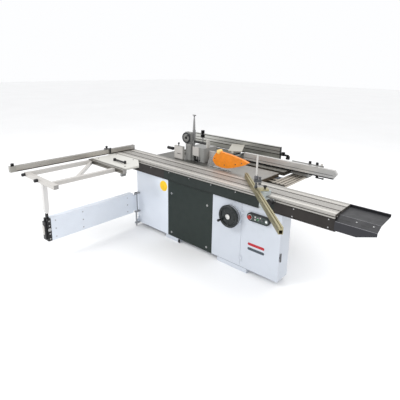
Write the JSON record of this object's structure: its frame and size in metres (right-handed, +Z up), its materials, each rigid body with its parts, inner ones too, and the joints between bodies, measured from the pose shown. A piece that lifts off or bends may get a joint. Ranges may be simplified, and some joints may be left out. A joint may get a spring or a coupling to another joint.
{
  "type": "panel saw",
  "caption": "Sliding-table panel saw with outrigger and crosscut fence, combined with a spindle moulder and a surface planer on one casing.",
  "frame": {"origin": "on the floor, below the centre of the saw blade", "axes": "+X along the sliding table towards its loading end, +Y from the operator into the machine, +Z up"},
  "size_m": [3.32, 2.64, 1.446],
  "materials": {
    "white_paint": "satin powder coat",
    "green_black_paint": "satin",
    "slate_paint": "satin",
    "beam_paint": "satin",
    "grey_paint": "satin",
    "light_paint": "gloss",
    "ground_cast": "ground",
    "grey_cast": "rough",
    "anodised": "fine brushed",
    "gold_anodised": "satin",
    "steel": "brushed",
    "black_plastic": "fine grain",
    "red_plastic": "gloss",
    "green_plastic": "gloss",
    "orange_plastic": "gloss"
  },
  "bodies": {
    "machine": {"base_frame": "white_paint", "left_casing": "white_paint", "dark_cover": "green_black_paint", "handwheel_panel": "white_paint", "electric_box": "white_paint", "rear_panel": "white_paint", "cover_screws": "steel", "carriage_beam": "beam_paint", "saw_table": "ground_cast", "spindle_table": "ground_cast", "arm_hinge": "white_paint", "spindle_hood": "grey_paint", "planer_body": "white_paint", "outfeed_table": "ground_cast", "rip_rail": "anodised"},
    "table": {"sliding_table": "anodised", "table_cover": "slate_paint"},
    "carriage": {"roller_carriage": "steel"},
    "outrigger": {"outrigger_frame": "light_paint", "outrigger_cross_bar": "anodised", "outrigger_plate": "light_paint"},
    "clamp": {"clamp_handle": "black_plastic"},
    "fence": {"crosscut_fence": "anodised"},
    "extension": {"fence_extension": "anodised"},
    "stop": {"stop_slider": "slate_paint"},
    "flap": {"stop_flap": "black_plastic"},
    "arm": {"swing_arm": "white_paint", "arm_end_cap": "black_plastic"},
    "post": {"support_post": "light_paint"},
    "door": {"front_door": "white_paint", "control_box": "black_plastic"},
    "latch": {"door_latch": "slate_paint"},
    "stop_btn": {"stop_button": "red_plastic"},
    "start_btn": {"start_button": "green_plastic"},
    "wheel": {"handwheel": "black_plastic"},
    "crank": {"crank_knob": "black_plastic"},
    "trunnion": {"saw_trunnion": "grey_cast"},
    "saw_unit": {"arbor_housing": "grey_cast", "saw_motor": "grey_paint", "riving_knife": "steel"},
    "blade": {"saw_arbor": "steel", "saw_blade": "steel"},
    "guard": {"blade_guard": "orange_plastic"},
    "quill": {"spindle_quill": "grey_paint"},
    "spindle": {"spindle_shaft": "steel"},
    "left_plate": {"hood_left_fence": "light_paint"},
    "right_plate": {"hood_right_fence": "light_paint"},
    "pressure": {"pressure_post": "steel"},
    "pressure_dial": {"pressure_wheel": "slate_paint"},
    "thicknesser": {"thickness_table": "ground_cast"},
    "infeed": {"infeed_table": "ground_cast"},
    "cutters": {"cutterblock": "steel"},
    "cutter_cover": {"cutter_guard": "light_paint"},
    "planer_fence_unit": {"planer_fence": "anodised"},
    "rip": {"rip_carriage": "grey_cast"},
    "rip_bar": {"rip_fence": "anodised"},
    "rip_cam": {"rip_lever": "black_plastic"},
    "mitre": {"mitre_base": "light_paint"},
    "mitre_bar": {"mitre_fence": "gold_anodised"},
    "clamp_down": {"hold_down": "light_paint"}
  },
  "joints": [
    {"name": "table_slide", "type": "slide", "parent": "machine", "child": "table", "axis": [1, 0, 0], "range_m": [-1.1, 1.3]},
    {"name": "carriage_slide", "type": "slide", "parent": "machine", "child": "carriage", "axis": [1, 0, 0], "range_m": [-0.56, 0.66]},
    {"name": "outrigger_slide", "type": "slide", "parent": "table", "child": "outrigger", "axis": [1, 0, 0], "range_m": [0, 0.6]},
    {"name": "clamp_turn", "type": "hinge", "parent": "outrigger", "child": "clamp", "pos_m": [-1.15, -0.625, 0.9], "axis": [0, 0, 1], "range_deg": [0, 90]},
    {"name": "fence_swivel", "type": "hinge", "parent": "outrigger", "child": "fence", "pos_m": [-1.484, -0.43, 0.893], "axis": [0, 0, -1], "range_deg": [0, 45]},
    {"name": "extension_slide", "type": "slide", "parent": "fence", "child": "extension", "axis": [0, -1, 0], "range_m": [0, 0.45]},
    {"name": "stop_slide", "type": "slide", "parent": "fence", "child": "stop", "axis": [0, 1, 0], "range_m": [-0.5, 0.3]},
    {"name": "stop_flip", "type": "hinge", "parent": "stop", "child": "flap", "pos_m": [-1.451, -0.476, 0.965], "axis": [0, -1, 0], "range_deg": [0, 110]},
    {"name": "arm_swing", "type": "hinge", "parent": "machine", "child": "arm", "pos_m": [-1.05, -0.4, 0.32], "axis": [0, 0, 1], "range_deg": [-48, 56]},
    {"name": "arm_extend", "type": "slide", "parent": "arm", "child": "post", "axis": [0, -1, 0], "range_m": [0, 0.5]},
    {"name": "door_swing", "type": "hinge", "parent": "machine", "child": "door", "pos_m": [0.534, -0.3555, 0.39], "axis": [0, 0, -1], "range_deg": [0, 65]},
    {"name": "latch_turn", "type": "hinge", "parent": "door", "child": "latch", "pos_m": [0.975, -0.338, 0.304], "axis": [1, 0, 0], "range_deg": [0, 90]},
    {"name": "stop_press", "type": "slide", "parent": "door", "child": "stop_btn", "axis": [0, 1, 0], "range_m": [0, 0.005], "stiffness_N_per_m": 1500},
    {"name": "start_press", "type": "slide", "parent": "door", "child": "start_btn", "axis": [0, 1, 0], "range_m": [0, 0.003], "stiffness_N_per_m": 1200},
    {"name": "handwheel_turn", "type": "hinge", "parent": "machine", "child": "wheel", "pos_m": [0.418, -0.43, 0.572], "axis": [0, 1, 0], "range_deg": [-2700, 1080]},
    {"name": "crank_spin", "type": "hinge", "parent": "wheel", "child": "crank", "pos_m": [0.33914, -0.46, 0.52462], "axis": [0, 1, 0], "continuous": true},
    {"name": "saw_tilt", "type": "hinge", "parent": "machine", "child": "trunnion", "pos_m": [0, 0, 0.89], "axis": [-1, 0, 0], "range_deg": [0, 45]},
    {"name": "saw_rise", "type": "slide", "parent": "trunnion", "child": "saw_unit", "axis": [0, 0, 1], "range_m": [-0.0751, 0.0301]},
    {"name": "blade_spin", "type": "hinge", "parent": "saw_unit", "child": "blade", "pos_m": [0, 0, 0.8025], "axis": [0, 1, 0], "continuous": true},
    {"name": "guard_slide", "type": "slide", "parent": "saw_unit", "child": "guard", "axis": [0, 0, 1], "range_m": [-0.0301, 0.0751]},
    {"name": "spindle_rise", "type": "slide", "parent": "machine", "child": "quill", "axis": [0, 0, 1], "range_m": [-0.06, 0.03]},
    {"name": "spindle_spin", "type": "hinge", "parent": "quill", "child": "spindle", "pos_m": [-0.45, 0.118, 0.8], "axis": [0, 0, 1], "continuous": true},
    {"name": "left_plate_slide", "type": "slide", "parent": "machine", "child": "left_plate", "axis": [1, 0, 0], "range_m": [-0.06, 0]},
    {"name": "right_plate_slide", "type": "slide", "parent": "machine", "child": "right_plate", "axis": [1, 0, 0], "range_m": [0, 0.06]},
    {"name": "pressure_turn", "type": "hinge", "parent": "machine", "child": "pressure_dial", "pos_m": [-0.596, 0.05, 1.16], "axis": [0, 1, 0], "range_deg": [-270, 450]},
    {"name": "pressure_lift", "type": "slide", "parent": "machine", "child": "pressure", "axis": [0, 0, 1], "range_m": [-0.0301, 0.0501]},
    {"name": "thickness_lift", "type": "slide", "parent": "machine", "child": "thicknesser", "axis": [0, 0, 1], "range_m": [-0.01, 0.22]},
    {"name": "infeed_height", "type": "slide", "parent": "machine", "child": "infeed", "axis": [0, 0, 1], "range_m": [-0.004, 0]},
    {"name": "cutterblock_spin", "type": "hinge", "parent": "machine", "child": "cutters", "pos_m": [-0.3, 0.6, 0.838], "axis": [0, 1, 0], "continuous": true},
    {"name": "cutter_guard_swing", "type": "hinge", "parent": "machine", "child": "cutter_cover", "pos_m": [-0.15, 0.372, 0.99], "axis": [0, 0, 1], "range_deg": [0, 50]},
    {"name": "planer_fence_tilt", "type": "hinge", "parent": "machine", "child": "planer_fence_unit", "pos_m": [0, 0.892, 0.893], "axis": [-1, 0, 0], "range_deg": [0, 45]},
    {"name": "rip_slide", "type": "slide", "parent": "machine", "child": "rip", "axis": [0, 1, 0], "range_m": [-0.43, 0.15]},
    {"name": "rip_bar_shift", "type": "slide", "parent": "rip", "child": "rip_bar", "axis": [1, 0, 0], "range_m": [-0.05, 0.2]},
    {"name": "rip_cam_turn", "type": "hinge", "parent": "rip_bar", "child": "rip_cam", "pos_m": [0.88, 0.52, 0.88], "axis": [0, 0, -1], "range_deg": [0, 90]},
    {"name": "mitre_slide", "type": "slide", "parent": "table", "child": "mitre", "axis": [1, 0, 0], "range_m": [-0.3, 0.5]},
    {"name": "mitre_swivel", "type": "hinge", "parent": "mitre", "child": "mitre_bar", "pos_m": [0.79, -0.38, 0.92], "axis": [0, 0, 1], "range_deg": [0, 45]},
    {"name": "hold_down_slide", "type": "slide", "parent": "mitre_bar", "child": "clamp_down", "axis": [0.7071, -0.7071, 0], "range_m": [-0.3, 0.6]}
  ],
  "couplings": [
    {"joint": "carriage_slide", "follows": "table_slide", "ratio": 0.5},
    {"joint": "arm_swing", "follows": "table_slide", "rad_per_m": 0.75},
    {"joint": "saw_rise", "follows": "handwheel_turn", "m_per_rad": 0.0015915},
    {"joint": "guard_slide", "follows": "handwheel_turn", "m_per_rad": -0.0015915},
    {"joint": "pressure_lift", "follows": "pressure_turn", "m_per_rad": 0.0063662}
  ]
}
